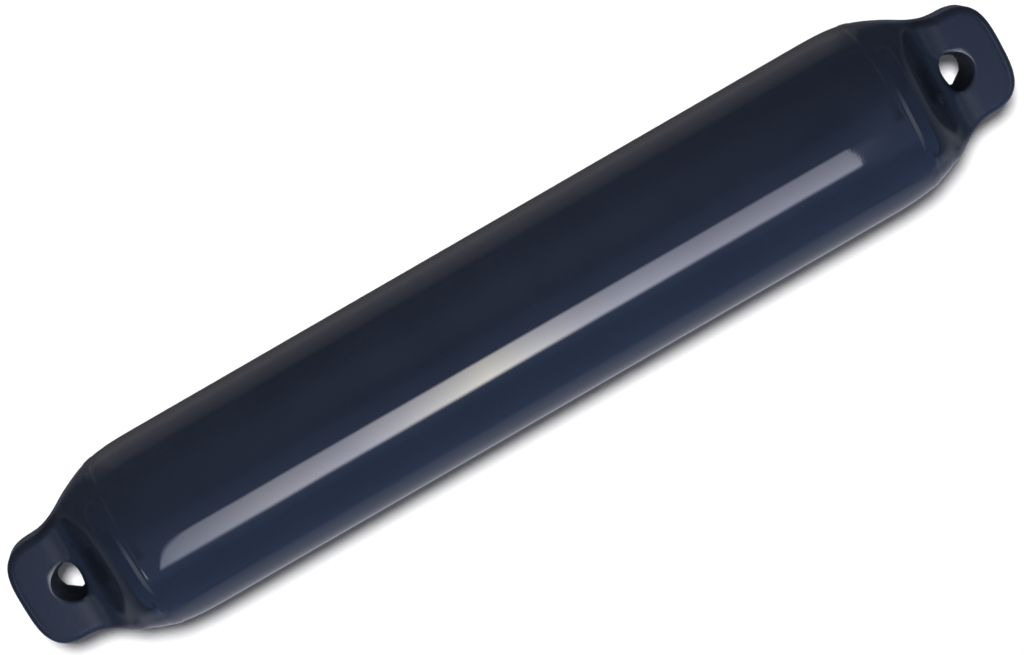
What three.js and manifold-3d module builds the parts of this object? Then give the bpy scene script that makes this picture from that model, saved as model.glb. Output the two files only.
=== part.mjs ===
// Boat fender: an inflated vinyl cylinder that narrows at each end to a flat ear with an oval rope eye.
// Millimetres, +Z up. It lies on its side along X with both ears level, and rests on the plane z = 0.
import * as THREE from 'three';
import { mergeVertices } from 'three/addons/utils/BufferGeometryUtils.js';
import Module from 'manifold-3d';

// Driving dimensions: the body
const fenderLength = 750; // tip to tip
const bodyDiameter = 130;
const flatSpotWidth = 16; // where the soft body presses on what it lies on

// The ears
const earLength = 49; // from the foot of the shoulder to the tip
const earWidth = 76;
const earThickness = 30;
const earEdgeRadius = 5; // rolled edge all round the ear
const earEndReach = 30; // the rounded end starts this far back from the tip
const earEndPower = 3.1; // 2 makes the end an ellipse, more makes it squarer

// The rope eyes
const eyeLength = 22; // along the fender
const eyeWidth = 28; // across it
const eyeFromFoot = 12; // from the foot of the shoulder to the middle of the eye
const eyeLip = 3.5; // radius of the rolled rim

// The shoulders, where round becomes flat
const shoulderLength = 76; // from the straight body to the foot
const waistLength = 24; // the narrowing runs this far along the ear's sides
const topHold = 6; // seen from the side, how long the shoulder stays full
const topLanding = 2; // and how softly it meets the ear
const sideHold = 3.5; // the same two, seen from above
const sideLanding = 3;
const footSquareness = 10; // power of the section at the foot, where 2 is an ellipse
const squaringPower = 4; // how late along the shoulder the section turns square

// The moulded ring round each shoulder
const ringFromFoot = 36;
const ringWidth = 5;
const ringHeight = 0.9;

// The air valve: a rubber plug for a ball needle, beside one eye
const valveFromFoot = 6.5; // from the foot back up the shoulder
const valveOffset = -10; // from the middle of the ear
const valveFlangeDiameter = 9;
const valveFlangeThickness = 1.6;
const valveCrown = 0.5; // height of the domed top
const valveStemDiameter = 6;
const valveStemLength = 7;
const needleHoleDiameter = 1.6;
const needleHoleDepth = 4;
const valveClearance = 0.3; // free space all round the plug in its pocket

// Fineness of the surfaces
const roundSegments = 60;
const bodyBands = 2; // from the middle to each shoulder
const shoulderBands = 14;
const footCrowding = 1.7; // more than 1 sets the shoulder's sections closer towards the foot
const ringBands = 4;
const ringMargin = 1; // no other section stands this close beside the ring
const earEndSegments = 14;
const waistSegments = 6;
const edgeSegments = 4;
const eyeSegments = 40;
const valveSegments = 24;
const crownSegments = 3;

// Worked out from the dimensions above
const bodyRadius = bodyDiameter / 2;
const earHalfWidth = earWidth / 2;
const earHalfThickness = earThickness / 2;
const tip = fenderLength / 2;
const foot = tip - earLength;
const shoulderStart = foot - shoulderLength;
const waistEnd = foot + waistLength;
const ringAt = foot - ringFromFoot;
const axisHeight = Math.sqrt(bodyRadius ** 2 - (flatSpotWidth / 2) ** 2);
const rootSink = 0.4; // the shoulder runs this far under the ear's skin, so that the two join
const rootLength = 14; // and this far into the ear
const cutMargin = 20; // the cutters of eyes and flat spot reach this far past what they cut
const pocketReach = 5; // and the valve pocket's cutter this far

const mix = THREE.MathUtils.lerp;

// A curve that stays near 1, then falls to 0 at t = 1
function fall(t, hold, landing) {
  return (1 - THREE.MathUtils.clamp(t, 0, 1) ** hold) ** landing;
}

// Half the width seen from above, at distance x from the middle
function halfWidth(x) {
  const t = (x - shoulderStart) / (waistEnd - shoulderStart);
  return mix(earHalfWidth, bodyRadius, fall(t, sideHold, sideLanding));
}

// Half the height of the shoulder seen from the side
function halfHeight(x) {
  const t = (x - shoulderStart) / shoulderLength;
  return mix(earHalfThickness - rootSink, bodyRadius, fall(t, topHold, topLanding));
}

// Power of the section's superellipse: 2 on the round body, more where it has flattened
function squareness(x) {
  const t = THREE.MathUtils.clamp((x - shoulderStart) / shoulderLength, 0, 1);
  return 1 / mix(1 / 2, 1 / footSquareness, t ** squaringPower);
}

// Height of the moulded ring at x
function ringRise(x) {
  const t = Math.min(Math.abs(x - ringAt) / (ringWidth / 2), 1);
  return ringHeight * Math.cos((t * Math.PI) / 2) ** 2;
}

// One closed section across the fender, x signed, with its points anticlockwise seen from +X
function section(x) {
  const along = Math.abs(x);
  const buried = rootSink * Math.max(0, along - foot) / rootLength;
  const wide = halfWidth(along) + ringRise(along) - buried;
  const high = halfHeight(along) + ringRise(along);
  const power = 2 / squareness(along);
  return Array.from({ length: roundSegments }, (_, i) => {
    const angle = (2 * Math.PI * (i + 0.5)) / roundSegments;
    const c = Math.cos(angle);
    const s = Math.sin(angle);
    return new THREE.Vector3(
      x,
      wide * Math.sign(c) * Math.abs(c) ** power,
      high * Math.sign(s) * Math.abs(s) ** power,
    );
  });
}

// A closed skin over sections of equal count, with a flat fan at both ends
function loft(sections) {
  const count = sections[0].length;
  const points = sections.flat();
  const faces = [];
  for (let k = 0; k + 1 < sections.length; k += 1) {
    for (let i = 0; i < count; i += 1) {
      const a = k * count + i;
      const b = k * count + ((i + 1) % count);
      faces.push(a, b, b + count, a, b + count, a + count);
    }
  }
  const last = (sections.length - 1) * count;
  for (let i = 1; i + 1 < count; i += 1) {
    faces.push(0, i + 1, i);
    faces.push(last, last + i, last + i + 1);
  }
  const geometry = new THREE.BufferGeometry().setFromPoints(points);
  geometry.setIndex(faces);
  return geometry;
}

// Where the sections stand, from the middle of the fender into one ear
function stations() {
  const places = [foot + rootLength];
  for (let i = 1; i <= bodyBands; i += 1) {
    places.push((shoulderStart * i) / bodyBands);
  }
  for (let i = 1; i <= shoulderBands; i += 1) {
    const x = shoulderStart + shoulderLength * (1 - (1 - i / shoulderBands) ** footCrowding);
    if (Math.abs(x - ringAt) > ringWidth / 2 + ringMargin) {
      places.push(x);
    }
  }
  for (let i = 0; i <= ringBands; i += 1) {
    places.push(ringAt + ringWidth * (i / ringBands - 0.5));
  }
  return places.sort((a, b) => a - b);
}

function bodyGeometry() {
  const half = stations();
  const all = [...half.map((x) => -x).reverse(), 0, ...half];
  return loft(all.map(section));
}

// One ear as a plate with rolled edges: its sides follow the waist, its end is a superellipse
function earGeometry() {
  const side = [];
  for (let i = 0; i < waistSegments; i += 1) {
    const x = mix(foot, tip - earEndReach, i / waistSegments);
    side.push(new THREE.Vector2(x, halfWidth(x)));
  }
  for (let i = 0; i <= earEndSegments; i += 1) {
    const angle = (Math.PI / 2) * (i / earEndSegments);
    const x = tip - earEndReach + earEndReach * Math.sin(angle) ** (2 / earEndPower);
    side.push(new THREE.Vector2(x, halfWidth(x) * Math.cos(angle) ** (2 / earEndPower)));
  }
  const rootX = foot - earThickness;
  const root = new THREE.Vector2(rootX, earHalfWidth - earEdgeRadius);
  const upper = [root, ...side];
  const lower = upper.slice(0, -1).map((p) => new THREE.Vector2(p.x, -p.y));
  const outline = new THREE.Shape([...lower, ...[...upper].reverse()]);
  const flat = earThickness - 2 * earEdgeRadius;
  return new THREE.ExtrudeGeometry(outline, {
    depth: flat,
    bevelSize: earEdgeRadius,
    bevelOffset: -earEdgeRadius,
    bevelThickness: earEdgeRadius,
    bevelSegments: edgeSegments,
  }).translate(0, 0, -flat / 2);
}

// The cutter for one rope eye: an oval bar that flares to the ear's faces
function eyeCutter() {
  const r = eyeLength / 2;
  const reach = earHalfThickness + cutMargin;
  const profile = [new THREE.Vector2(0, -reach), new THREE.Vector2(r + eyeLip, -reach)];
  for (const end of [-1, 1]) {
    for (let i = 0; i <= edgeSegments; i += 1) {
      const turn = (Math.PI / 2) * (end < 0 ? i / edgeSegments : 1 - i / edgeSegments);
      profile.push(new THREE.Vector2(
        r + eyeLip * (1 - Math.sin(turn)),
        end * (earHalfThickness - eyeLip * (1 - Math.cos(turn))),
      ));
    }
  }
  profile.push(new THREE.Vector2(r + eyeLip, reach), new THREE.Vector2(0, reach));
  return new THREE.LatheGeometry(profile, eyeSegments)
    .rotateX(Math.PI / 2)
    .scale(1, eyeWidth / eyeLength, 1)
    .translate(foot + eyeFromFoot, 0, 0);
}

// What the ground presses flat
function flatSpotCutter() {
  return new THREE.BoxGeometry(fenderLength, bodyDiameter, cutMargin)
    .translate(0, 0, -axisHeight - cutMargin / 2);
}

// The valve stands square on the shoulder's slope: its seat, and a turn of +Z to the slope's normal
const valveX = foot - valveFromFoot;
const slopeStep = 0.5;
const slope = (halfHeight(valveX + slopeStep) - halfHeight(valveX - slopeStep)) / (2 * slopeStep);
const valveTilt = Math.atan(-slope);
const valveSeat = new THREE.Vector3(valveX, valveOffset, halfHeight(valveX));

function placeAtValve(item) {
  return item.rotateY(valveTilt).translate(valveSeat.x, valveSeat.y, valveSeat.z);
}

function valvePocketCutter() {
  const stem = valveStemDiameter / 2 + valveClearance;
  const flange = valveFlangeDiameter / 2 + valveClearance;
  const shelf = -valveFlangeThickness - valveClearance;
  const floor = shelf - valveStemLength;
  const profile = [
    new THREE.Vector2(0, floor),
    new THREE.Vector2(stem, floor),
    new THREE.Vector2(stem, shelf),
    new THREE.Vector2(flange, shelf),
    new THREE.Vector2(flange, pocketReach),
    new THREE.Vector2(0, pocketReach),
  ];
  return placeAtValve(new THREE.LatheGeometry(profile, valveSegments).rotateX(Math.PI / 2));
}

// The plug: a stem, a flange with a domed top, and a blind hole for the needle
function valveGeometry() {
  const stem = valveStemDiameter / 2;
  const flange = valveFlangeDiameter / 2;
  const needle = needleHoleDiameter / 2;
  const under = -valveFlangeThickness;
  const profile = [
    new THREE.Vector2(0, under - valveStemLength + valveClearance),
    new THREE.Vector2(stem, under - valveStemLength + valveClearance),
    new THREE.Vector2(stem, under),
    new THREE.Vector2(flange, under),
  ];
  for (let i = 0; i <= crownSegments; i += 1) {
    const part = i / crownSegments;
    const up = valveCrown * Math.sin((Math.PI / 2) * part);
    profile.push(new THREE.Vector2(mix(flange, needle, part), up - valveCrown));
  }
  profile.push(new THREE.Vector2(needle, -needleHoleDepth), new THREE.Vector2(0, -needleHoleDepth));
  return placeAtValve(new THREE.LatheGeometry(profile, valveSegments).rotateX(Math.PI / 2));
}

// Solids: a geometry with its shared vertices merged, and back again
const wasm = await Module();
wasm.setup();

function solid(geometry) {
  const bare = geometry.clone();
  bare.deleteAttribute('normal');
  bare.deleteAttribute('uv');
  const merged = mergeVertices(bare, 1e-4);
  return new wasm.Manifold(new wasm.Mesh({
    numProp: 3,
    vertProperties: new Float32Array(merged.attributes.position.array),
    triVerts: new Uint32Array(merged.index.array),
  }));
}

function geometryOf(shape) {
  const mesh = shape.getMesh();
  const geometry = new THREE.BufferGeometry();
  geometry.setAttribute('position', new THREE.BufferAttribute(mesh.vertProperties, 3));
  geometry.setIndex(new THREE.BufferAttribute(mesh.triVerts, 1));
  geometry.computeVertexNormals();
  return geometry;
}

function fenderGeometry() {
  const ear = earGeometry();
  const eye = eyeCutter();
  return geometryOf(solid(bodyGeometry())
    .add(solid(ear))
    .add(solid(ear.clone().rotateZ(Math.PI)))
    .subtract(solid(eye))
    .subtract(solid(eye.clone().rotateZ(Math.PI)))
    .subtract(solid(flatSpotCutter()))
    .subtract(solid(valvePocketCutter())));
}

// Materials
const navyVinyl = new THREE.MeshStandardMaterial({ color: 0x232b40, roughness: 0.22, metalness: 0 });
const blackRubber = new THREE.MeshStandardMaterial({ color: 0x14161c, roughness: 0.6, metalness: 0 });

function piece(name, geometry, material) {
  const mesh = new THREE.Mesh(geometry, material);
  mesh.name = name;
  return mesh;
}

const fender = new THREE.Group();
fender.position.z = axisHeight;
fender.add(piece('fender_body', fenderGeometry(), navyVinyl));
fender.add(piece('air_valve', valveGeometry(), blackRubber));

export default fender;
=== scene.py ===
from math import atan, atan2, cos, hypot, pi, radians, sin, tan

import bmesh
import bpy
from bpy.props import FloatProperty, FloatVectorProperty, IntProperty, PointerProperty
from bpy.types import Operator, Panel, PropertyGroup
from mathutils import Matrix, Vector


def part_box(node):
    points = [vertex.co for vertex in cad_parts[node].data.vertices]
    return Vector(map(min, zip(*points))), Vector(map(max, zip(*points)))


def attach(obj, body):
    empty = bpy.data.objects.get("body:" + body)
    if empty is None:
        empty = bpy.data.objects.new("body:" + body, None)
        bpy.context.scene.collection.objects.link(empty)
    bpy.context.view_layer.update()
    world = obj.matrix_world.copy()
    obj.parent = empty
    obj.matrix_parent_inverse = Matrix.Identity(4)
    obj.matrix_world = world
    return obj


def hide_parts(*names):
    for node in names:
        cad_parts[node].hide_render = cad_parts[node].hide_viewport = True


bl_info = {
    "name": "Boat Fender",
    "version": (1, 0, 0),
    "blender": (4, 5, 0),
    "location": "3D View > Sidebar > Fender",
    "description": "Models an inflated vinyl boat fender with two rope eyes, its air valve and a studio",
    "category": "Add Mesh",
}

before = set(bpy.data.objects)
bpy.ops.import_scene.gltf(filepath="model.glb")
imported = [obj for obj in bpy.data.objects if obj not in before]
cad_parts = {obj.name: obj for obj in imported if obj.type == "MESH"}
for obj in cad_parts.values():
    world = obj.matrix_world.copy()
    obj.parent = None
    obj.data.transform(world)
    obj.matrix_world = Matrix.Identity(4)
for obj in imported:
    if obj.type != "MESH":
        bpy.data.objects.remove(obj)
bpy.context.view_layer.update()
BODY_LOW, BODY_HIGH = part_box("fender_body")
BODY_DIAMETER = BODY_HIGH.y - BODY_LOW.y
AXIS_HEIGHT = BODY_HIGH.z - BODY_DIAMETER / 2
SHORTER = 0.002  # how much shorter the dressed body is than its solid
BAR_COLUMNS = 48
BAR_ROWS = 16

# Sizes and colours that a user would change


def length(name, description, default):
    return FloatProperty(
        name=name, description=description, default=default, min=0, precision=4,
        subtype="DISTANCE", unit="LENGTH",
    )


def colour(name, description, default):
    return FloatVectorProperty(
        name=name, description=description, default=default,
        size=3, min=0, max=1, subtype="COLOR",
    )


class FenderSizes(PropertyGroup):
    """Sizes of the moulded body, its shoulders, ears and rope eyes"""

    length: length("Length", "From tip to tip", BODY_HIGH.x - BODY_LOW.x - SHORTER)
    diameter: length("Diameter", "Across the round body", BODY_DIAMETER)
    ear_length: length("Ear length", "From the foot of the shoulder to the tip", 0.048)
    ear_width: length("Ear width", "Across the ear", 0.076)
    ear_thickness: length("Ear thickness", "From face to face", 0.030)
    ear_edge: length("Ear edge", "Radius of the rolled edge round the ear", 0.005)
    ear_end_reach: length("Ear end", "How far back from the tip the rounded end starts", 0.030)
    ear_end_power: FloatProperty(
        name="Ear end power", description="2 makes the end an ellipse, more makes it squarer",
        default=3.1, min=2, max=8,
    )
    shoulder_length: length("Shoulder", "From the straight body to the foot", 0.076)
    waist_length: length("Waist", "How far the narrowing runs along the ear's sides", 0.024)
    foot_fillet: length("Foot fillet", "Length of the hollow where shoulder and ear meet", 0.022)
    eye_length: length("Eye length", "Opening along the fender", 0.0168)
    eye_width: length("Eye width", "Opening across the fender", 0.0244)
    eye_from_foot: length("Eye place", "From the foot to the widest place of the eye", 0.0107)
    eye_lip: length("Eye lip", "How far the rim spreads over the ear", 0.0018)
    eye_wear: length("Eye wear", "How much farther the rim spreads on the side of the tip", 0.0030)
    eye_lip_depth: length("Eye lip depth", "How deep the rim reaches into the eye", 0.0075)
    ring_from_foot: length("Ring place", "From the foot back to the moulded ring", 0.0357)
    ring_width: length("Ring width", "Width of the moulded ring with its flanks", 0.009)
    ring_flank: length("Ring flank", "Width of each of the ring's slopes", 0.0025)
    ring_height: length("Ring height", "How far the ring stands proud", 0.00037)


class ValveSizes(PropertyGroup):
    """Sizes of the rubber plug that takes the pump's needle"""

    from_foot: length("Place", "From the foot back up the shoulder", 0.0065)
    offset: length("Offset", "From the middle of the ear to the side", 0.010)
    flange_diameter: length("Flange", "Diameter of the plug's head", 0.009)
    flange_thickness: length("Flange thickness", "Thickness of the plug's head", 0.0016)
    stem_diameter: length("Stem", "Diameter of the stem", 0.006)
    stem_length: length("Stem length", "Length of the stem under the head", 0.0067)
    needle_hole: length("Needle hole", "Diameter of the hole for the needle", 0.0016)
    needle_depth: length("Needle depth", "Depth of the hole for the needle", 0.004)
    clearance: length("Clearance", "Free space all round the plug in its pocket", 0.0003)


class FenderFinish(PropertyGroup):
    """Colours of the vinyl and the rubber"""

    vinyl: colour("Vinyl", "Colour of the body", (0.0110, 0.0146, 0.0246))
    vinyl_deep: colour("Vinyl, deep", "Darker cloudiness in the body's colour", (0.0092, 0.0123, 0.0210))
    scuff: colour("Scuffs", "Colour of faint rub marks", (0.030, 0.036, 0.052))
    # painted shade: this near-black colour darkens the inside of the rope eyes and the hollow at each
    # ear's foot
    painted_shade: colour("Grime", "Colour of the dirt inside the rope eyes", (0.003, 0.004, 0.006))
    rubber: colour("Rubber", "Colour of the valve plug", (0.0075, 0.008, 0.010))


class StudioSettings(PropertyGroup):
    """Light, floor and view of the studio"""

    key: FloatProperty(
        name="Key light", description="Strength of the overhead light", default=3.45, min=0, max=10,
    )
    key_spread: FloatProperty(
        name="Key size", description="How wide the overhead light is",
        default=radians(8), min=0, max=radians(90), subtype="ANGLE",
    )
    key_tilt: FloatProperty(
        name="Key tilt", description="Lean of the overhead light to the far side",
        default=radians(15.4), min=0, max=radians(80), subtype="ANGLE",
    )
    room: colour("Room", "Soft light that comes from all round", (0.13, 0.13, 0.14))
    floor: colour("Floor", "Colour of the floor", (0.98, 0.98, 0.98))
    panel: FloatProperty(
        name="Panel", description="Brightness of the reflected light panel",
        default=10.2, min=0, max=40,
    )
    distance: length("Camera distance", "From the camera to the middle of the fender", 2.0939)
    lens: FloatProperty(
        name="Lens", description="Focal length of the camera in millimetres",
        default=110.5, min=10, max=400,
    )
    lean: FloatProperty(
        name="Camera lean", description="How far the camera leans to the far side",
        default=radians(9.91), subtype="ANGLE",
    )
    roll: FloatProperty(
        name="Camera roll", description="Turn of the picture",
        default=radians(30.0), subtype="ANGLE",
    )


# Curves of the form

def mix(a, b, share):
    return a + (b - a) * share


def clamp(value):
    return min(1.0, max(0.0, value))


def ease(start, end, value):
    t = clamp((value - start) / (end - start))
    return t * t * (3 - 2 * t)


def fall(t, hold, landing):
    """Stays near 1, then falls to 0 at t = 1."""
    return (1 - clamp(t) ** hold) ** landing


class FenderForm:
    """The outer form of one half of the fender, measured from its axis.

    The half starts as a square bar. Every point of the bar has a place u across its width and w
    over its height, both from -1 to 1, and the form says where that point goes.
    """

    TOP_HOLD = 6
    TOP_LANDING = 2
    SIDE_HOLD = 3.5
    SIDE_LANDING = 3
    FOOT_SQUARENESS = 10
    SQUARING_POWER = 4
    ROOT_SINK = 0.0004  # how far the hollow dips under the ear's face
    FILLET_BEFORE_FOOT = 0.45  # share of the fillet's length that lies before the foot
    PLATE_BEFORE_FOOT = 0.020  # where the section starts to turn into the ear's plate
    PLATE_AFTER_FOOT = 0.004  # and where it has done so
    COLUMN_PULL = 3  # power by which only the outer columns lean with the ear's edge
    CORNER = 0.5  # where the ear's outline turns from side to end, as a share of the power curve
    WALL = 0.375  # share of the bar's height that becomes the ear's flat edge
    SLOPE_STEP = 0.00005
    EYE_POINT = 1.85  # power of the eye's outline on the side of the tip, below 2 for a point
    EYE_FLAT = 2.25  # and on the side of the body, above 2 for a flat
    EYE_TIPWARD = 0.60  # share of the eye's length that lies beyond its widest place
    WEAR_POWER = 3  # gathers the eye's wear on the side of the tip
    UNDER_RIM = 0.4  # size of the eye's rim on the underside, as a share of the upper one
    UNDER_SHIFT = 0.0011  # how far the eye drifts sideways on its way down

    def __init__(self, sizes, columns, rows):
        self.sizes = sizes
        self.radius = sizes.diameter / 2
        self.tip = sizes.length / 2
        self.foot = self.tip - sizes.ear_length
        self.shoulder = self.foot - sizes.shoulder_length
        self.waist_end = self.foot + sizes.waist_length
        self.ring = self.foot - sizes.ring_from_foot
        self.end_start = self.tip - sizes.ear_end_reach
        self.face = sizes.ear_thickness / 2
        self.ear_half = sizes.ear_width / 2
        self.eye_x = self.foot + sizes.eye_from_foot
        self.side_angle = pi / 2 * rows / (columns + rows)
        power = sizes.ear_end_power
        self.corner_x = sizes.ear_end_reach * self.CORNER ** (1 / power)
        self.corner_y = self.ear_half * (1 - self.CORNER) ** (1 / power)

    def ring_rise(self, x):
        outer = self.sizes.ring_width / 2
        inner = outer - self.sizes.ring_flank
        return self.sizes.ring_height * (1 - ease(inner, outer, abs(x - self.ring)))

    def half_width(self, x):
        t = (x - self.shoulder) / (self.waist_end - self.shoulder)
        return mix(self.ear_half, self.radius, fall(t, self.SIDE_HOLD, self.SIDE_LANDING))

    def bare_height(self, x):
        t = (x - self.shoulder) / self.sizes.shoulder_length
        return mix(self.face - self.ROOT_SINK, self.radius, fall(t, self.TOP_HOLD, self.TOP_LANDING))

    def half_height(self, x):
        """The shoulder's height, with a hollow fillet that runs out softly over the ear's face."""
        start = self.foot - self.sizes.foot_fillet * self.FILLET_BEFORE_FOOT
        t = (x - start) / self.sizes.foot_fillet
        if t <= 0:
            return self.bare_height(x)
        if t >= 1:
            return self.face
        above = self.bare_height(start) - self.face
        before = self.bare_height(start - self.SLOPE_STEP)
        slope = (before - self.bare_height(start)) / self.SLOPE_STEP
        return self.face + above * (1 - t) ** (slope * self.sizes.foot_fillet / above)

    def squareness(self, x):
        t = clamp((x - self.shoulder) / self.sizes.shoulder_length)
        return 1 / mix(1 / 2, 1 / self.FOOT_SQUARENESS, t**self.SQUARING_POWER)

    def plate_share(self, x):
        """0 where the section is a soft power curve, 1 where it is the ear's plate."""
        return ease(self.foot - self.PLATE_BEFORE_FOOT, self.foot + self.PLATE_AFTER_FOOT, x)

    def edge_profile(self, w, height):
        """Distance in from the ear's outline and height, for a place w over the edge."""
        radius = self.sizes.ear_edge
        side = -1 if w < 0 else 1
        if abs(w) <= self.WALL:
            return 0, w / self.WALL * (height - radius)
        turn = pi / 2 * (abs(w) - self.WALL) / (1 - self.WALL)
        return radius * (1 - cos(turn)), side * (height - radius + radius * sin(turn))

    def side_outline(self, x):
        """Half the ear's width at x, with its rounded end."""
        t = max(0, x - self.end_start) / self.sizes.ear_end_reach
        power = self.sizes.ear_end_power
        return self.half_width(x) * (1 - t**power) ** (1 / power)

    def end_outline(self, y):
        power = self.sizes.ear_end_power
        t = abs(y) / self.ear_half
        return self.end_start + self.sizes.ear_end_reach * (1 - t**power) ** (1 / power)

    def side_point(self, x, inward):
        """A point of the outline at x, moved inward square to it, on the side of +Y."""
        step = self.SLOPE_STEP
        slope = (self.side_outline(x + step) - self.side_outline(x - step)) / (2 * step)
        size = hypot(slope, 1)
        return x + slope * inward / size, self.side_outline(x) - inward / size

    def end_point(self, y, inward):
        step = self.SLOPE_STEP
        slope = (self.end_outline(y + step) - self.end_outline(y - step)) / (2 * step)
        size = hypot(slope, 1)
        return self.end_outline(y) - inward / size, y + slope * inward / size

    def soft_section(self, x, u, w):
        """A point of the round body and of the shoulder."""
        wide = self.half_width(x) + self.ring_rise(x)
        high = self.half_height(x) + self.ring_rise(x)
        if abs(w) == 1:
            turn = u * (pi / 2 - self.side_angle)
            circle = (sin(turn), w * cos(turn))
        else:
            turn = w * self.side_angle
            circle = (u * cos(turn), sin(turn))
        share = ease(self.shoulder, self.foot, x)
        gy = mix(circle[0], u, share)
        gz = mix(circle[1], w, share)
        power = self.squareness(x)
        scale = (abs(gy) ** power + abs(gz) ** power) ** (-1 / power)
        return Vector((x, wide * gy * scale, high * gz * scale))

    def plate_section(self, x, u, w):
        """A point of the ear before its rounded end."""
        side = -1 if u < 0 else 1
        if abs(w) == 1:
            inner_x, inner_y = self.side_point(x, self.sizes.ear_edge)
            px = x + (inner_x - x) * abs(u) ** self.COLUMN_PULL
            return Vector((px, u * inner_y, w * self.half_height(px)))
        inward = self.edge_profile(w, self.face)[0]
        px, py = self.side_point(x, inward)
        return Vector((px, side * py, self.edge_profile(w, self.half_height(px))[1]))

    def ear_end(self, x, u, w):
        """A point of the ear's rounded end."""
        s = (x - self.end_start) / (self.tip - self.end_start)
        edge = self.sizes.ear_edge
        side = -1 if u < 0 else 1
        inward, z = self.edge_profile(w, self.face)
        if s > 1 - 1e-6 and abs(w) < 1:
            px, py = self.end_point(u * self.corner_y, inward)
            if u == 0:
                py = 0
            return Vector((px, py, z))
        if abs(w) < 1:
            px, py = self.side_point(self.end_start + s * self.corner_x, inward)
            return Vector((px, side * py, z))
        first = self.plate_section(self.end_start, u, w)
        last = self.end_point(u * self.corner_y, edge)
        rim = self.side_point(self.end_start + s * self.corner_x, edge)
        near = self.side_point(self.end_start, edge)
        far = self.side_point(self.end_start + self.corner_x, edge)
        px = mix(first.x, last[0], s) + rim[0] - mix(near[0], far[0], s)
        py = mix(first.y, last[1], s) + u * (rim[1] - mix(near[1], far[1], s))
        return Vector((px, py, w * self.face))

    def place(self, x, u, w):
        if x > self.end_start:
            return self.ear_end(x, u, w)
        share = self.plate_share(x)
        if share == 0:
            return self.soft_section(x, u, w)
        if share == 1:
            return self.plate_section(x, u, w)
        return self.soft_section(x, u, w).lerp(self.plate_section(x, u, w), share)

    def face_height(self, x, y):
        """Height of the upper face over a point near the eye."""
        power = self.squareness(x)
        soft = (1 - (abs(y) / self.half_width(x)) ** power) ** (1 / power)
        return self.half_height(x) * mix(soft, 1, self.plate_share(x))

    def eye_ring(self, co, share, depth):
        """The point straight in from co on the rim, at a share of the lip's spread."""
        wide_half = self.sizes.eye_width / 2
        shift = self.UNDER_SHIFT if co.z < 0 else 0
        angle = atan2(co.y, (co.x - self.eye_x) * self.sizes.eye_width / self.sizes.eye_length)
        power, part = self.EYE_FLAT, 1 - self.EYE_TIPWARD
        if cos(angle) > 0:
            power, part = self.EYE_POINT, self.EYE_TIPWARD
        reach = (abs(cos(angle)) ** power + abs(sin(angle)) ** power) ** (-1 / power)
        worn = self.sizes.eye_wear * max(0, cos(angle)) ** self.WEAR_POWER
        spread = share * (self.sizes.eye_lip + worn)
        if co.z < 0:
            spread *= self.UNDER_RIM
            depth *= self.UNDER_RIM
        x = self.eye_x + (self.sizes.eye_length * part + spread) * cos(angle) * reach
        y = (wide_half + spread) * sin(angle) * reach + shift
        side = -1 if co.z < 0 else 1
        return Vector((x, y, side * (self.face_height(x, y) - depth)))


# Steps of modelling that several pieces share

def deselect_all():
    if bpy.context.object and bpy.context.object.mode != "OBJECT":
        bpy.ops.object.mode_set(mode="OBJECT")
    bpy.ops.object.select_all(action="DESELECT")


def keep_only_selected(piece):
    deselect_all()
    bpy.context.view_layer.objects.active = piece
    piece.select_set(True)


def name_new_piece(name):
    piece = bpy.context.object
    piece.name = name
    piece.data.name = name
    bpy.ops.object.transform_apply(location=True, rotation=True, scale=True)
    return piece


def edit(piece, select_mode="FACE"):
    keep_only_selected(piece)
    bpy.ops.object.mode_set(mode="EDIT")
    bpy.ops.mesh.select_mode(type=select_mode)
    bpy.ops.mesh.select_all(action="DESELECT")


def select_faces(piece, test):
    shape = bmesh.from_edit_mesh(piece.data)
    for face in shape.faces:
        face.select_set(test(face))
    shape.select_flush_mode()
    bmesh.update_edit_mesh(piece.data)


def select_edges(piece, test):
    shape = bmesh.from_edit_mesh(piece.data)
    for edge in shape.edges:
        edge.select_set(test(edge))
    bmesh.update_edit_mesh(piece.data)


def push_region(distance):
    """Extrudes the selected face along Z."""
    bpy.ops.mesh.extrude_region_move(TRANSFORM_OT_translate={"value": (0, 0, distance)})


def cut_across(axis, places):
    """Cuts the piece in edit mode by a plane at each place along the axis."""
    normal = Vector((0, 0, 0))
    normal[axis] = 1
    for place in places:
        bpy.ops.mesh.select_all(action="SELECT")
        bpy.ops.mesh.bisect(plane_co=normal * place, plane_no=normal, threshold=1e-7)


def apply_modifiers(piece):
    keep_only_selected(piece)
    for modifier in list(piece.modifiers):
        bpy.ops.object.modifier_apply(modifier=modifier.name)


def turn_faces_outward(piece):
    edit(piece)
    bpy.ops.mesh.select_all(action="SELECT")
    bpy.ops.mesh.normals_make_consistent(inside=False)
    bpy.ops.object.mode_set(mode="OBJECT")


def smooth_below(piece, angle):
    keep_only_selected(piece)
    bpy.ops.object.shade_smooth_by_angle(angle=angle)


def give_material(piece, material):
    piece.data.materials.clear()
    piece.data.materials.append(material)


# Materials, with shares and roughness from 0 to 1

VINYL_IOR = 1.52
GLOSS_ROUGHNESS = (0.020, 0.034)
TIP_ROUGHER = 0.19
ROOT_ROUGHER = 0.16
EYE_ROUGHER = 0.55
MARK_ROUGHER = 0.06
ROOT_SHADE = 0.5  # share of painted shade in the hollow at each ear's foot
SPECK_SHARE = 0.05
MARK_SHARE = 0.25
BLOOM_SHARE = 0.35  # share of the pale bloom on the rubber


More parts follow.
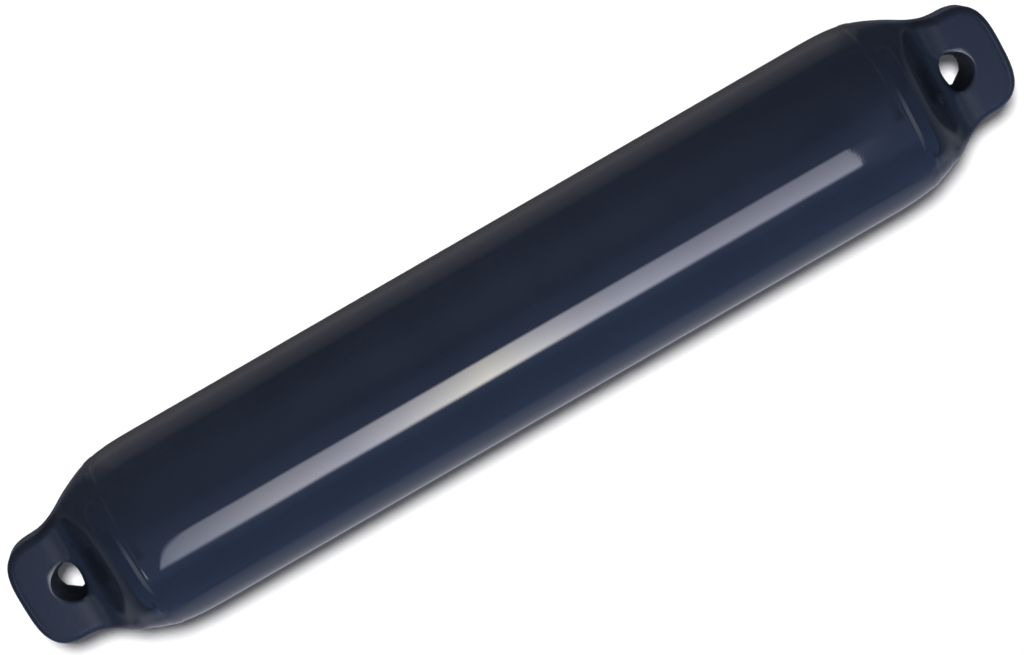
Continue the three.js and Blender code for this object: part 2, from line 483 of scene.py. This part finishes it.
class Nodes:
    """Short ways to add nodes to one material or world."""

    def __init__(self, owner):
        owner.use_nodes = True
        self.tree = owner.node_tree
        self.tree.nodes.clear()
        self.column = 0

    def add(self, kind, **settings):
        node = self.tree.nodes.new(kind)
        node.location = (self.column * 190, 0)
        self.column += 1
        for name, value in settings.items():
            setattr(node, name, value)
        return node

    def link(self, source, target):
        self.tree.links.new(source, target)

    def axes(self, kind="Object"):
        """The place on the surface, and the same as X, Y and Z."""
        place = self.add("ShaderNodeTexCoord").outputs[kind]
        split = self.add("ShaderNodeSeparateXYZ")
        self.link(place, split.inputs[0])
        return place, split.outputs["X"], split.outputs["Y"], split.outputs["Z"]

    def glow(self, tint, strength=1.0):
        node = self.add("ShaderNodeEmission")
        self.link(tint, node.inputs["Color"])
        if isinstance(strength, (int, float)):
            node.inputs["Strength"].default_value = strength
        else:
            self.link(strength, node.inputs["Strength"])
        return node.outputs[0]

    def either(self, share, first, second):
        """Mixes two shaders."""
        node = self.add("ShaderNodeMixShader")
        for socket, source in zip(node.inputs, (share, first, second)):
            self.link(source, socket)
        return node.outputs[0]

    def show(self, surface, kind="ShaderNodeOutputMaterial"):
        self.link(surface, self.add(kind).inputs["Surface"])

    def math(self, operation, first, second=0.0, limit=False):
        node = self.add("ShaderNodeMath", operation=operation, use_clamp=limit)
        for socket, value in zip(node.inputs, (first, second)):
            if isinstance(value, (int, float)):
                socket.default_value = value
            else:
                self.link(value, socket)
        return node.outputs[0]

    def noise(self, vector, scale, detail=2.0, roughness=0.5):
        node = self.add("ShaderNodeTexNoise")
        node.inputs["Scale"].default_value = scale
        node.inputs["Detail"].default_value = detail
        node.inputs["Roughness"].default_value = roughness
        self.link(vector, node.inputs["Vector"])
        return node.outputs["Fac"]

    def stretch(self, vector, scale):
        node = self.add("ShaderNodeMapping")
        node.inputs["Scale"].default_value = scale
        self.link(vector, node.inputs["Vector"])
        return node.outputs["Vector"]

    def range(self, value, low, high, to_low=0.0, to_high=1.0, smooth=False):
        node = self.add("ShaderNodeMapRange")
        node.interpolation_type = "SMOOTHSTEP" if smooth else "LINEAR"
        node.inputs["From Min"].default_value = low
        node.inputs["From Max"].default_value = high
        node.inputs["To Min"].default_value = to_low
        node.inputs["To Max"].default_value = to_high
        self.link(value, node.inputs["Value"])
        return node.outputs["Result"]

    def blend(self, share, first, second):
        """Mixes two colours, each given as a socket or a value."""
        node = self.add("ShaderNodeMix", data_type="RGBA")
        factor, a, b = node.inputs[0], node.inputs[6], node.inputs[7]
        for socket, value in ((factor, share), (a, first), (b, second)):
            if isinstance(value, bpy.types.NodeSocket):
                self.link(value, socket)
            elif socket is factor:
                socket.default_value = value
            else:
                socket.default_value = (*value, 1)
        return node.outputs[2]

    def ramp(self, value, stops):
        """A colour that changes from stop to stop, each stop a place and a colour."""
        low, high = stops[0][0], stops[-1][0]
        node = self.add("ShaderNodeValToRGB")
        points = node.color_ramp.elements
        for _ in stops[2:]:
            points.new(0.5)
        for point, (place, tint) in zip(points, stops):
            point.position = (place - low) / (high - low)
            point.color = (*tint, 1)
        self.link(self.range(value, low, high), node.inputs["Fac"])
        return node.outputs["Color"]

    def product(self, first, *rest):
        for value in rest:
            first = self.math("MULTIPLY", first, value)
        return first

    def window(self, value, start, end, soft):
        """1 between start and end, with soft edges."""
        rise = self.range(value, start - soft, start + soft, smooth=True)
        drop = self.range(value, end - soft, end + soft, 1.0, 0.0, smooth=True)
        return self.product(rise, drop)

    def bump(self, height, distance, strength=1.0, under=None):
        node = self.add("ShaderNodeBump")
        node.inputs["Distance"].default_value = distance
        node.inputs["Strength"].default_value = strength
        self.link(height, node.inputs["Height"])
        if under:
            self.link(under, node.inputs["Normal"])
        return node.outputs["Normal"]


def rub_marks(nodes, place):
    """Faint streaks along the fender, here and there."""
    streaks = nodes.noise(nodes.stretch(place, (18, 160, 160)), 1, 6, 0.65)
    rubbed = nodes.range(streaks, 0.66, 0.80, smooth=True)
    patches = nodes.range(nodes.noise(place, 22, 3, 0.5), 0.50, 0.68, smooth=True)
    return nodes.product(rubbed, patches)


def vinyl_colour(nodes, place, x, y, finish):
    """Clouded navy with specks of dust, darker towards the upper right."""
    clouds = nodes.range(nodes.noise(place, 14, 4, 0.55), 0.35, 0.65, smooth=True)
    # darker towards the upper right, set by place
    upper_right = nodes.product(
        nodes.range(x, 0.02, 0.26, smooth=True),
        nodes.range(y, 0.005, 0.045, smooth=True),
    )
    deep = nodes.math("MAXIMUM", clouds, upper_right)
    base = nodes.blend(deep, finish.vinyl, finish.vinyl_deep)
    specks = nodes.range(nodes.noise(place, 700, 2, 0.6), 0.62, 0.75)
    return nodes.blend(nodes.product(specks, SPECK_SHARE), base, finish.scuff)


def distance_from_eye(nodes, from_middle, y, form):
    """1 on an oval of the eye's size, and more outside it."""
    eye_middle = form.eye_x + form.sizes.eye_length * (form.EYE_TIPWARD - 0.5)
    beside = nodes.math("SUBTRACT", from_middle, eye_middle)
    along = nodes.math("DIVIDE", beside, form.sizes.eye_length / 2)
    across = nodes.math("DIVIDE", y, form.sizes.eye_width / 2)
    squares = nodes.math("ADD", nodes.product(along, along), nodes.product(across, across))
    return nodes.math("SQRT", squares)


def vinyl_material(finish, form):
    """Glossy moulded vinyl, softer toward the tips, with painted shade in the eyes and in the hollow at
    each ear's foot, and faint rub marks.
    """
    material = bpy.data.materials.new("gloss_vinyl")
    nodes = Nodes(material)
    place, x, y, z = nodes.axes()
    from_middle = nodes.math("ABSOLUTE", x)
    from_axis = nodes.math("ABSOLUTE", nodes.math("SUBTRACT", z, AXIS_HEIGHT))
    from_eye = distance_from_eye(nodes, from_middle, y, form)

    marks = rub_marks(nodes, place)
    dusty = vinyl_colour(nodes, place, x, y, finish)
    worn = nodes.blend(nodes.product(marks, MARK_SHARE), dusty, finish.scuff)
    # painted shade: the base goes near-black inside the rope eyes
    outside_eye = nodes.range(from_eye, 1.15, 1.50, smooth=True)
    eye_shaded = nodes.blend(outside_eye, finish.painted_shade, worn)
    root = nodes.window(from_middle, form.foot - 0.0005, form.foot + 0.014, 0.007)
    # painted shade: the hollow at each ear's foot is darkened toward near-black
    root_shaded = nodes.blend(nodes.product(root, ROOT_SHADE), eye_shaded, finish.painted_shade)

    sunk = nodes.range(from_axis, form.face - 0.0004, form.face - 0.00003, 1.0, 0.0)
    in_eye = nodes.product(sunk, nodes.range(from_eye, 1.8, 2.1, 1.0, 0.0))
    toward_tip = nodes.range(from_middle, form.ring + 0.007, form.ring + 0.023, smooth=True)
    roughness = nodes.range(nodes.noise(place, 60, 3, 0.5), 0.3, 0.7, *GLOSS_ROUGHNESS)
    for mask, rougher in (
        (toward_tip, TIP_ROUGHER), (root, ROOT_ROUGHER), (in_eye, EYE_ROUGHER), (marks, MARK_ROUGHER),
    ):
        roughness = nodes.math("ADD", roughness, nodes.product(mask, rougher))

    shader = nodes.add("ShaderNodeBsdfPrincipled")
    shader.inputs["IOR"].default_value = VINYL_IOR
    nodes.link(root_shaded, shader.inputs["Base Color"])
    nodes.link(roughness, shader.inputs["Roughness"])
    waves = nodes.bump(nodes.noise(place, 24, 1, 0.4), 0.0010, 0.10)
    peel = nodes.bump(nodes.noise(place, 620, 2, 0.5), 0.00005, 0.05, waves)
    nodes.link(peel, shader.inputs["Normal"])
    nodes.show(shader.outputs["BSDF"])
    return material


def rubber_material(finish):
    """Matt black rubber with a fine grain."""
    material = bpy.data.materials.new("valve_rubber")
    nodes = Nodes(material)
    place = nodes.axes()[0]
    grain = nodes.noise(place, 3200, 3, 0.6)
    bloom = nodes.range(nodes.noise(place, 500, 3, 0.5), 0.4, 0.8, smooth=True)
    base = nodes.blend(nodes.product(bloom, BLOOM_SHARE), finish.rubber, finish.scuff)
    shader = nodes.add("ShaderNodeBsdfPrincipled")
    nodes.link(base, shader.inputs["Base Color"])
    nodes.link(nodes.range(grain, 0.3, 0.7, 0.48, 0.66), shader.inputs["Roughness"])
    nodes.link(nodes.bump(grain, 0.00004, 0.5), shader.inputs["Normal"])
    nodes.show(shader.outputs["BSDF"])
    return material


# The pieces

class FENDER_OT_body(Operator):
    """Model the moulded fender body with its ears and rope eyes"""

    bl_idname = "fender.body"
    bl_label = "Fender Body"
    bl_options = {"REGISTER", "UNDO"}

    columns: IntProperty(
        name="Columns", description="Faces across the bar's width", default=BAR_COLUMNS, min=24,
    )
    rows: IntProperty(
        name="Rows", description="Faces over the bar's height", default=BAR_ROWS, min=8,
    )

    RIM_PROFILE = (  # shares of the lip's spread and depth, from the face into the eye
        (1.0, 0.0), (0.96, 0.008), (0.91, 0.035), (0.86, 0.08), (0.79, 0.16),
        (0.58, 0.40), (0.36, 0.64), (0.16, 0.86), (0.04, 0.97), (0.0, 1.0),
    )
    RIM_APPROACH = (0.35, 0.55, 1.0)  # steps from the window's edge to the rim
    WALL_CUTS = 6
    RING_SPAN = 0.0045  # fine cuts on either side of the ring
    HOLLOW_SPAN = 0.012  # fine cuts before the foot
    RUN_OUT_SPAN = 0.004  # and after it
    WINDOW_BEFORE_EYE = 0.018
    WINDOW_AFTER_EYE = 0.0195
    WINDOW_SHARE = 0.63  # share of the bar's width that the window takes
    POCKET_SIDES = 64
    CUTTER_ABOVE = 0.005
    SMOOTH_BELOW = radians(38)

    def execute(self, context):
        sizes = context.scene.fender_sizes
        form = FenderForm(sizes, self.columns, self.rows)
        piece = self.cut_bar(form)
        self.open_windows(piece, form)
        self.press_to_form(piece, form)
        self.roll_eyes(piece, form)
        self.mirror(piece)
        self.sink_valve_pocket(context, piece, form)
        smooth_below(piece, self.SMOOTH_BELOW)
        give_material(piece, vinyl_material(context.scene.fender_finish, form))
        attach(piece, "root")
        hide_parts("fender_body")
        return {"FINISHED"}

    def stations(self, form):
        """Where the bar is cut across: close together at the ring, the foot and the eye."""
        ends = (
            (form.shoulder, 10),
            (form.ring - self.RING_SPAN, 12),
            (form.ring + self.RING_SPAN, 18),
            (form.foot - self.HOLLOW_SPAN, 12),
            (form.foot + self.RUN_OUT_SPAN, 16),
            (form.end_start, 10),
            (form.tip, 14),
        )
        places = []
        start = 0
        for end, count in ends:
            places += [mix(start, end, i / count) for i in range(count)]
            start = end
        return places[1:]

    def cut_bar(self, form):
        """Half the fender as a square bar, cut into small faces."""
        deselect_all()
        bpy.ops.mesh.primitive_cube_add(
            size=1, location=(form.tip / 2, 0, 0),
            scale=(form.tip, 2 * form.radius, 2 * form.radius),
        )
        piece = name_new_piece("vinyl_fender")
        edit(piece)
        side = form.radius
        cut_across(1, [mix(-side, side, i / self.columns) for i in range(1, self.columns)])
        cut_across(2, [mix(-side, side, i / self.rows) for i in range(1, self.rows)])
        cut_across(0, self.stations(form))
        select_faces(piece, lambda face: face.calc_center_median().x < 1e-6)
        bpy.ops.mesh.delete(type="FACE")
        bpy.ops.object.mode_set(mode="OBJECT")
        return piece

    def open_windows(self, piece, form):
        """Takes out the faces over and under the rope eye."""
        low = form.eye_x - self.WINDOW_BEFORE_EYE
        high = form.eye_x + self.WINDOW_AFTER_EYE
        reach = form.radius * self.WINDOW_SHARE

        def in_window(face):
            middle = face.calc_center_median()
            return (
                abs(middle.z) > form.radius - 1e-6
                and low < middle.x < high
                and abs(middle.y) < reach
            )

        edit(piece)
        select_faces(piece, in_window)
        bpy.ops.mesh.delete(type="FACE")
        bpy.ops.object.mode_set(mode="OBJECT")

    def press_to_form(self, piece, form):
        edit(piece, "VERT")
        shape = bmesh.from_edit_mesh(piece.data)
        steps = (self.columns / 2, self.rows / 2)
        for vertex in shape.verts:
            u = round(vertex.co.y / form.radius * steps[0]) / steps[0]
            w = round(vertex.co.z / form.radius * steps[1]) / steps[1]
            vertex.co = form.place(vertex.co.x, u, w)
            vertex.co.z = max(vertex.co.z, -AXIS_HEIGHT)
        bmesh.update_edit_mesh(piece.data)
        bpy.ops.object.mode_set(mode="OBJECT")

    def roll_eyes(self, piece, form):
        """Draws each window in to the oval, rolls the rim over and joins the two rims."""
        lip_depth = form.sizes.eye_lip_depth

        def at_eye(item):
            return item.is_boundary and item.verts[0].co.x > form.shoulder

        def next_ring(move):
            bpy.ops.mesh.extrude_edges_move()
            shape = bmesh.from_edit_mesh(piece.data)
            for vertex in shape.verts:
                if vertex.select:
                    vertex.co = move(vertex.co)
            bmesh.update_edit_mesh(piece.data)

        edit(piece, "EDGE")
        select_edges(piece, at_eye)
        for share in self.RIM_APPROACH:
            next_ring(lambda co: self.toward_rim(form, co, share))
        for spread_share, depth_share in self.RIM_PROFILE[1:]:
            next_ring(lambda co: form.eye_ring(co, spread_share, depth_share * lip_depth))
        bpy.ops.mesh.bridge_edge_loops(number_cuts=self.WALL_CUTS)
        bpy.ops.mesh.select_all(action="SELECT")
        bpy.ops.transform.translate(value=(0, 0, AXIS_HEIGHT))
        bpy.ops.object.mode_set(mode="OBJECT")

    def toward_rim(self, form, co, share):
        target = form.eye_ring(co, 1, 0)
        point = co.lerp(target, share)
        side = -1 if co.z < 0 else 1
        point.z = side * form.face_height(point.x, point.y)
        return point

    def mirror(self, piece):
        keep_only_selected(piece)
        bpy.ops.object.modifier_add(type="MIRROR")
        piece.modifiers[-1].use_clip = True
        piece.modifiers[-1].merge_threshold = 1e-5
        apply_modifiers(piece)
        turn_faces_outward(piece)

    def sink_valve_pocket(self, context, piece, form):
        """Cuts the stepped pocket that the valve plug sits in."""
        valve = context.scene.fender_valve
        deselect_all()
        head = valve.flange_diameter / 2 + valve.clearance
        stem = valve.stem_diameter / 2 + valve.clearance
        shelf = valve.flange_thickness + valve.clearance
        above = self.CUTTER_ABOVE
        bpy.ops.mesh.primitive_cylinder_add(
            vertices=self.POCKET_SIDES, radius=head, depth=above + shelf,
            location=(0, 0, (above - shelf) / 2),
        )
        cutter = name_new_piece("pocket_cutter")
        edit(cutter)
        select_faces(cutter, lambda face: face.normal.z < -0.9)
        bpy.ops.mesh.inset(thickness=head - stem)
        push_region(-valve.stem_length - valve.clearance)
        bpy.ops.object.mode_set(mode="OBJECT")
        cutter.data.transform(valve_place(form, valve))
        cut = piece.modifiers.new("pocket", "BOOLEAN")
        cut.operation = "DIFFERENCE"
        cut.solver = "EXACT"
        cut.object = cutter
        apply_modifiers(piece)
        bpy.data.objects.remove(cutter)


def valve_place(form, valve):
    """The valve's seat on the shoulder, and the turn that stands it square on the slope."""
    x = form.foot - valve.from_foot
    step = 0.0005
    slope = (form.half_height(x + step) - form.half_height(x - step)) / (2 * step)
    seat = Vector((x, -valve.offset, AXIS_HEIGHT + form.half_height(x)))
    return Matrix.Translation(seat) @ Matrix.Rotation(atan(-slope), 4, "Y")


class FENDER_OT_valve(Operator):
    """Model the rubber valve plug in the right shoulder"""

    bl_idname = "fender.valve"
    bl_label = "Air Valve"
    bl_options = {"REGISTER", "UNDO"}

    PLUG_SIDES = 32
    HEAD_STEPS = (  # insets of the head's face from its edge, each with its rise
        (0.0004, 0.0), (0.0006, -0.00035), (0.0005, 0.0), (0.0003, 0.00035),
    )
    BOSS = 1.6  # radius of the raised middle, in radii of the needle's hole
    BOSS_RISE = 0.0001
    DIMPLE = 0.0003
    EDGE_BEVEL = 0.00015
    BEVEL_FROM = radians(35)
    SMOOTH_BELOW = radians(40)

    def execute(self, context):
        valve = context.scene.fender_valve
        form = FenderForm(context.scene.fender_sizes, BAR_COLUMNS, BAR_ROWS)
        deselect_all()
        radius = valve.flange_diameter / 2
        bpy.ops.mesh.primitive_cylinder_add(
            vertices=self.PLUG_SIDES, radius=radius, depth=valve.flange_thickness,
            location=(0, 0, -valve.flange_thickness / 2),
        )
        piece = name_new_piece("valve_plug")
        edit(piece)
        needle = valve.needle_hole / 2
        rim = sum(thickness for thickness, rise in self.HEAD_STEPS)
        to_boss = radius - rim - needle * self.BOSS
        to_hole = needle * (self.BOSS - 1)
        middle = ((to_boss, self.BOSS_RISE), (to_hole, -self.DIMPLE))
        self.work_face(piece, 1, self.HEAD_STEPS + middle)
        push_region(-valve.needle_depth)
        stem = valve.stem_diameter / 2
        self.work_face(piece, -1, ((radius - stem, 0.0),))
        push_region(-valve.stem_length)
        bpy.ops.object.mode_set(mode="OBJECT")
        bevel = piece.modifiers.new("soft_edges", "BEVEL")
        bevel.width = self.EDGE_BEVEL
        bevel.segments = 3
        bevel.limit_method = "ANGLE"
        bevel.angle_limit = self.BEVEL_FROM
        apply_modifiers(piece)
        piece.data.transform(valve_place(form, valve))
        turn_faces_outward(piece)
        smooth_below(piece, self.SMOOTH_BELOW)
        give_material(piece, rubber_material(context.scene.fender_finish))
        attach(piece, "root")
        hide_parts("air_valve")
        return {"FINISHED"}

    def work_face(self, piece, side, steps):
        """Insets the upper or lower face step by step, each with its rise."""
        select_faces(piece, lambda face: face.normal.z * side > 0.9)
        for thickness, rise in steps:
            bpy.ops.mesh.inset(thickness=thickness)
            if rise:
                bpy.ops.transform.translate(value=(0, 0, rise))


# The studio

# What the gloss mirrors: colours by place, in metres across or along the fender
FLOOR_FRONT = (
    (-1.60, (0.23, 0.36, 0.72)),
    (-0.76, (0.24, 0.38, 0.74)),
    (-0.60, (0.41, 0.50, 0.86)),
    (-0.30, (0.49, 0.55, 0.80)),
    (-0.15, (0.46, 0.50, 0.62)),
    (-0.08, (0.50, 0.51, 0.58)),
)
# painted shade: in reflections the floor just behind the fender is dark, as if in its shadow
FLOOR_BACK = (
    (0.08, (0.10, 0.095, 0.10)),
    (0.13, (0.34, 0.32, 0.33)),
    (0.26, (0.25, 0.24, 0.24)),
    (0.42, (0.11, 0.11, 0.11)),
)
FLOOR_FAR = (0.035, 0.04, 0.055)
FLOOR_SIDE = (
    (0.36, (0.15, 0.18, 0.23)),
    (0.60, (0.17, 0.20, 0.27)),
    (1.20, (0.12, 0.15, 0.22)),
    (2.20, (0.10, 0.13, 0.20)),
)
PANEL_COLOURS = (
    (-0.42, (0.20, 0.23, 0.31)),
    (-0.28, (0.44, 0.44, 0.51)),
    (-0.185, (0.51, 0.51, 0.60)),
    (-0.09, (0.81, 0.80, 0.81)),
    (-0.035, (1.0, 0.96, 0.88)),
    (0.007, (0.81, 0.81, 0.84)),
    (0.064, (0.58, 0.57, 0.66)),
    (0.102, (0.49, 0.50, 0.60)),
    (0.198, (0.385, 0.39, 0.49)),
    (0.38, (0.33, 0.34, 0.425)),
)
PANEL_SURROUND = (
    (-1.15, (0.19, 0.32, 0.66)),
    (-0.72, (0.30, 0.46, 0.90)),
    (-0.10, (0.23, 0.30, 0.56)),
    (0.05, (0.17, 0.24, 0.48)),
    (0.25, (0.08, 0.12, 0.25)),
)
PANEL_OUTSIDE = (0.08, 0.11, 0.19)  # the surround beyond the panel's near corners
PANEL_HALO = (0.55, 0.66, 1.15)
STRIP_COLOURS = (
    (-1.90, (0.14, 0.26, 0.52)),
    (-1.00, (0.50, 0.64, 0.95)),
    (-0.55, (0.80, 0.86, 1.0)),
    (-0.20, (0.74, 0.80, 1.0)),
    (0.10, (0.28, 0.34, 0.52)),
    (0.35, (0.05, 0.08, 0.20)),
)
ROOM_MIRRORED = (
    (-1.0, (0.22, 0.33, 0.70)),
    (-0.6, (0.17, 0.31, 0.64)),
    (-0.2, (0.10, 0.16, 0.36)),
    (0.2, (0.08, 0.12, 0.24)),
    (0.45, (0.05, 0.07, 0.14)),
    (0.7, (0.015, 0.02, 0.03)),
    (1.0, (0.01, 0.01, 0.01)),
)
ROOM_ENDS = (0.03, 0.045, 0.09)
ROOM_MIDDLE = (0.11, 0.15, 0.24)
FRONT_DIP = 0.65  # share of the near floor's glow that stays where the shoulders mirror it
STRIP_STRENGTH = 1.4
GLOW_FALL = 4.0


def floor_material(studio):
    """A plain floor that is white to the camera; in reflections a painted glow, pale near and dim far
    away, with painted shade close behind the fender.
    """
    material = bpy.data.materials.new("studio_floor")
    nodes = Nodes(material)
    ray = nodes.add("ShaderNodeLightPath")
    x, across = nodes.axes()[1:3]
    along = nodes.math("ABSOLUTE", x)
    narrowed = nodes.math("SUBTRACT", along, nodes.product(across, 0.12))
    reach = nodes.math("ADD", along, nodes.product(across, 0.6))
    front = nodes.product(
        nodes.window(across, -40, -0.075, 0.02),
        nodes.range(reach, 0.29, 0.49, 1.0, 0.0, smooth=True),
    )
    back = nodes.product(
        nodes.window(across, 0.04, 0.47, 0.03),
        nodes.range(narrowed, 0.28, 0.305, 1.0, 0.45, smooth=True),
        nodes.range(narrowed, 0.312, 0.335, 1.0, 0.0, smooth=True),
    )
    front_colour = nodes.ramp(across, FLOOR_FRONT)
    back_colour = nodes.ramp(across, FLOOR_BACK)
    far = nodes.product(nodes.range(across, -0.03, 0.12), nodes.range(along, 1.4, 2.0, 1.0, 0.0))
    side_colour = nodes.blend(far, nodes.ramp(along, FLOOR_SIDE), FLOOR_FAR)
    dip = nodes.range(nodes.window(along, 0.345, 0.43, 0.025), 0.0, 1.0, 1.0, FRONT_DIP)
    pale = nodes.blend(nodes.product(front, dip), side_colour, front_colour)
    mirrored = nodes.blend(back, pale, back_colour)
    plain = nodes.add("ShaderNodeBsdfDiffuse")
    plain.inputs["Color"].default_value = (*studio.floor, 1)
    in_gloss = nodes.glow(mirrored)
    nodes.show(nodes.either(ray.outputs["Is Glossy Ray"], plain.outputs[0], in_gloss))
    return material


def panel_material(studio):
    """The light panel that the gloss mirrors: bright in the middle, with a soft glow round it."""
    material = bpy.data.materials.new("light_panel")
    nodes = Nodes(material)
    along, across = nodes.axes()[1:3]
    from_middle = nodes.math("ABSOLUTE", along)
    left = nodes.math("SUBTRACT", along, nodes.product(across, 0.264))
    right = nodes.math("ADD", along, nodes.product(across, 0.06))
    slant = nodes.math("ADD", across, nodes.product(along, 0.03))
    core = nodes.product(
        nodes.range(left, -0.336, -0.302, smooth=True),
        nodes.range(right, 0.3455, 0.3480, 1.0, 0.0, smooth=True),
        nodes.range(slant, -0.725, -0.575, smooth=True),
        nodes.range(slant, -0.185, -0.120, 1.0, 0.0, smooth=True),
    )
    fade = nodes.range(across, -0.62, -0.15, 1.50, 0.85)
    lamp = nodes.glow(nodes.ramp(along, PANEL_COLOURS), nodes.product(fade, studio.panel))
    beyond = nodes.range(from_middle, 0.375, 0.475, 1.0, 0.0)
    level = nodes.window(across, -0.72, -0.22, 0.10)
    halo = nodes.product(nodes.math("POWER", beyond, GLOW_FALL), level)
    outside = nodes.product(
        nodes.range(from_middle, 0.49, 0.66, smooth=True),
        nodes.range(across, -0.26, -0.16, smooth=True),
    )
    surround = nodes.blend(outside, nodes.ramp(across, PANEL_SURROUND), PANEL_OUTSIDE)
    room = nodes.glow(nodes.blend(halo, surround, PANEL_HALO))
    nodes.show(nodes.either(core, room, lamp))
    return material


def strip_material():
    """The side strips' glow, brightest a little in front of the fender."""
    material = bpy.data.materials.new("side_strip")
    nodes = Nodes(material)
    across = nodes.axes()[2]
    nodes.show(nodes.glow(nodes.ramp(across, STRIP_COLOURS), STRIP_STRENGTH))
    return material


class FENDER_OT_studio(Operator):
    """Set up the floor, the lights and the camera"""

    bl_idname = "fender.studio"
    bl_label = "Studio"
    bl_options = {"REGISTER", "UNDO"}

    FLOOR_SIZE = 40
    PANEL_CENTRE = (0, -0.45, 1.0)
    PANEL_SIZE = (1.6, 1.4)
    STRIP_CENTRE = (1.165, -0.775, 1.0)  # of the right one
    STRIP_SIZE = (0.33, 2.25)
    KEY_HEIGHT = 3.2
    VIEW_CENTRE = Vector((-0.00106, -0.00288, AXIS_HEIGHT))
    SIDE_LEAN = radians(-0.35)
    SENSOR_WIDTH = 36
    CLIP_START = 0.05

    def execute(self, context):
        studio = context.scene.fender_studio
        self.add_floor(studio)
        self.add_panel(studio)
        for side in (-1, 1):
            self.add_side_strip(side)
        self.add_key(studio)
        self.light_room(context, studio)
        self.add_camera(context, studio)
        context.scene.view_settings.view_transform = "Standard"
        return {"FINISHED"}

    def add_floor(self, studio):
        deselect_all()
        bpy.ops.mesh.primitive_plane_add(size=self.FLOOR_SIZE)
        floor = name_new_piece("studio_floor")
        give_material(floor, floor_material(studio))

    def add_sheet(self, name, centre, width, depth):
        deselect_all()
        bpy.ops.mesh.primitive_plane_add(size=1, location=centre)
        bpy.ops.transform.resize(value=(width, depth, 1))
        return name_new_piece(name)

    def add_panel(self, studio):
        panel = self.add_sheet("light_panel", self.PANEL_CENTRE, *self.PANEL_SIZE)
        give_material(panel, panel_material(studio))
        self.show_only_in_gloss(panel)

    def add_side_strip(self, side):
        """A dim strip beyond each end, which draws the thin streak on the moulded ring."""
        x, y, z = self.STRIP_CENTRE
        strip = self.add_sheet("side_strip", (side * x, y, z), *self.STRIP_SIZE)
        give_material(strip, strip_material())
        self.show_only_in_gloss(strip)

    def show_only_in_gloss(self, item):
        item.visible_camera = False
        item.visible_diffuse = False
        item.visible_shadow = False
        item.visible_transmission = False

    def add_key(self, studio):
        deselect_all()
        away = self.KEY_HEIGHT / cos(studio.key_tilt)
        bpy.ops.object.light_add(
            type="AREA", rotation=(-studio.key_tilt, 0, 0),
            location=(0, self.KEY_HEIGHT * tan(studio.key_tilt), self.KEY_HEIGHT),
        )
        key = bpy.context.object
        key.name = "key_light"
        key.data.shape = "DISK"
        key.data.size = 2 * away * tan(studio.key_spread / 2)
        key.data.energy = studio.key * pi * away**2
        key.visible_glossy = False

    def light_room(self, context, studio):
        """A white room to the camera, a dark one in reflections and a soft one for plain light."""
        world = bpy.data.worlds.new("studio_room")
        context.scene.world = world
        nodes = Nodes(world)
        ray = nodes.add("ShaderNodeLightPath")
        x, across = nodes.axes("Generated")[1:3]
        along = nodes.math("ABSOLUTE", x)
        middle = nodes.product(
            nodes.window(across, 0.45, 0.93, 0.15),
            nodes.range(along, 0.03, 0.17, 1.0, 0.0, smooth=True),
        )
        centred = nodes.blend(middle, nodes.ramp(across, ROOM_MIRRORED), ROOM_MIDDLE)
        ends = nodes.product(
            nodes.range(along, 0.60, 0.88, smooth=True),
            nodes.range(across, -0.12, 0.12, smooth=True),
        )
        mirrored = nodes.blend(ends, centred, ROOM_ENDS)
        unlit = nodes.blend(ray.outputs["Is Glossy Ray"], studio.room, mirrored)
        shown = nodes.blend(ray.outputs["Is Camera Ray"], unlit, (1, 1, 1))
        background = nodes.add("ShaderNodeBackground")
        nodes.link(shown, background.inputs["Color"])
        nodes.show(background.outputs[0], "ShaderNodeOutputWorld")

    def add_camera(self, context, studio):
        deselect_all()
        lean, side = studio.lean, self.SIDE_LEAN
        back = Vector((sin(side) * cos(lean), sin(lean), cos(lean) * cos(side)))
        forward = -back
        right = (Vector((1, 0, 0)) - forward * forward.x).normalized()
        up = right.cross(forward)
        rolled_right = right * cos(studio.roll) - up * sin(studio.roll)
        rolled_up = right * sin(studio.roll) + up * cos(studio.roll)
        bpy.ops.object.camera_add(location=self.VIEW_CENTRE + back * studio.distance)
        camera = context.object
        camera.name = "camera"
        turn = Matrix((rolled_right, rolled_up, back)).transposed()
        camera.rotation_mode = "QUATERNION"
        camera.rotation_quaternion = turn.to_quaternion()
        camera.data.lens = studio.lens
        camera.data.sensor_width = self.SENSOR_WIDTH
        camera.data.clip_start = self.CLIP_START
        context.scene.camera = camera


class VIEW3D_PT_fender(Panel):
    """Buttons for the fender's pieces and studio"""

    bl_label = "Boat Fender"
    bl_idname = "VIEW3D_PT_fender"
    bl_space_type = "VIEW_3D"
    bl_region_type = "UI"
    bl_category = "Fender"

    def draw(self, context):
        layout = self.layout
        for title, group, operator in (
            ("Body", context.scene.fender_sizes, "fender.body"),
            ("Valve", context.scene.fender_valve, "fender.valve"),
            ("Finish", context.scene.fender_finish, None),
            ("Studio", context.scene.fender_studio, "fender.studio"),
        ):
            box = layout.box()
            box.label(text=title)
            for name in group.__annotations__:
                box.prop(group, name)
            if operator:
                box.operator(operator)


GROUPS = {
    "fender_sizes": FenderSizes,
    "fender_valve": ValveSizes,
    "fender_finish": FenderFinish,
    "fender_studio": StudioSettings,
}
CLASSES = (*GROUPS.values(), FENDER_OT_body, FENDER_OT_valve, FENDER_OT_studio, VIEW3D_PT_fender)


def register():
    for item in CLASSES:
        bpy.utils.register_class(item)
    for name, group in GROUPS.items():
        setattr(bpy.types.Scene, name, PointerProperty(type=group))


def unregister():
    for name in GROUPS:
        delattr(bpy.types.Scene, name)
    for item in reversed(CLASSES):
        bpy.utils.unregister_class(item)


def main():
    register()
    bpy.ops.fender.studio()
    bpy.ops.fender.body()
    bpy.ops.fender.valve()


if __name__ == "__main__":
    main()
